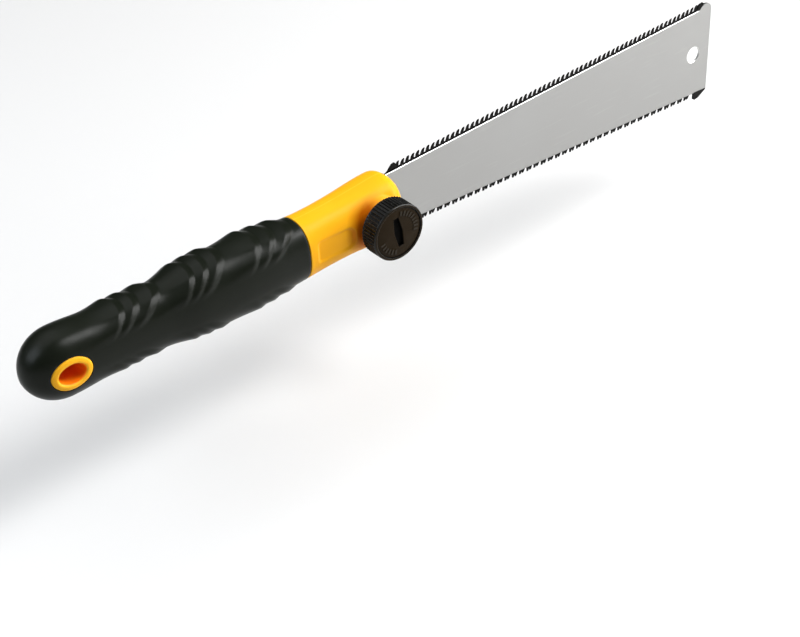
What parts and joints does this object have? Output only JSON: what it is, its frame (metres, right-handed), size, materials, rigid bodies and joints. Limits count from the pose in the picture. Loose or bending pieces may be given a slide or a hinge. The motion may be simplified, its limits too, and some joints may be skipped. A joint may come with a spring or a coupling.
{
  "type": "hand saw",
  "caption": "Hand saw with a ribbed rubber grip, an interchangeable double-edged blade on a forked tang, and a knurled side knob that clamps it.",
  "frame": {"origin": "centre of the bounding box; the clamp knob's axis is 22.1 mm behind it and 1.3 mm above it, and the middle plane of the blade 5.2 mm to its +Y side", "axes": "+X along the saw from the butt of the handle to the toe of the blade, +Z across the blade towards the fine-toothed edge, the clamp knob on the -Y side"},
  "size_m": [0.4158, 0.0404, 0.0556],
  "materials": {
    "yellow_plastic": "satin, fine moulded surface",
    "black_rubber": "satin soft rubber",
    "black_plastic": "fine matt texture, glossier on the edges",
    "zinc_steel": "zinc plated",
    "blade_steel": "satin ground, both toothed edges darkened by hardening"
  },
  "bodies": {
    "handle": {"core_left": "yellow_plastic", "core_right": "yellow_plastic", "core_screw_1": "zinc_steel", "core_screw_2": "zinc_steel", "core_screw_3": "zinc_steel", "core_screw_4": "zinc_steel", "grip_sleeve": "black_rubber", "hang_eyelet": "yellow_plastic", "guide_pin": "zinc_steel", "jaw_plate_left": "zinc_steel", "jaw_plate_right": "zinc_steel", "clamp_nut": "zinc_steel", "nut_plug": "black_plastic"},
    "washer": {"thrust_washer": "zinc_steel"},
    "knob": {"clamp_knob": "black_plastic", "knob_cap": "black_plastic", "clamp_screw": "zinc_steel", "screw_clip": "zinc_steel"},
    "blade": {"blade": "blade_steel"}
  },
  "joints": [
    {"name": "screw_travel", "type": "slide", "parent": "handle", "child": "washer", "axis": [0, -1, 0], "range_m": [0, 0.002]},
    {"name": "knob_turn", "type": "hinge", "parent": "washer", "child": "knob", "pos_m": [-0.0221, -0.0148, 0.0013], "axis": [0, -1, 0], "range_deg": [0, 720]},
    {"name": "blade_slide", "type": "slide", "parent": "handle", "child": "blade", "axis": [1, 0, 0], "range_m": [0, 0.052]}
  ],
  "couplings": [
    {"joint": "knob_turn", "follows": "screw_travel", "rad_per_m": 6283.2}
  ]
}
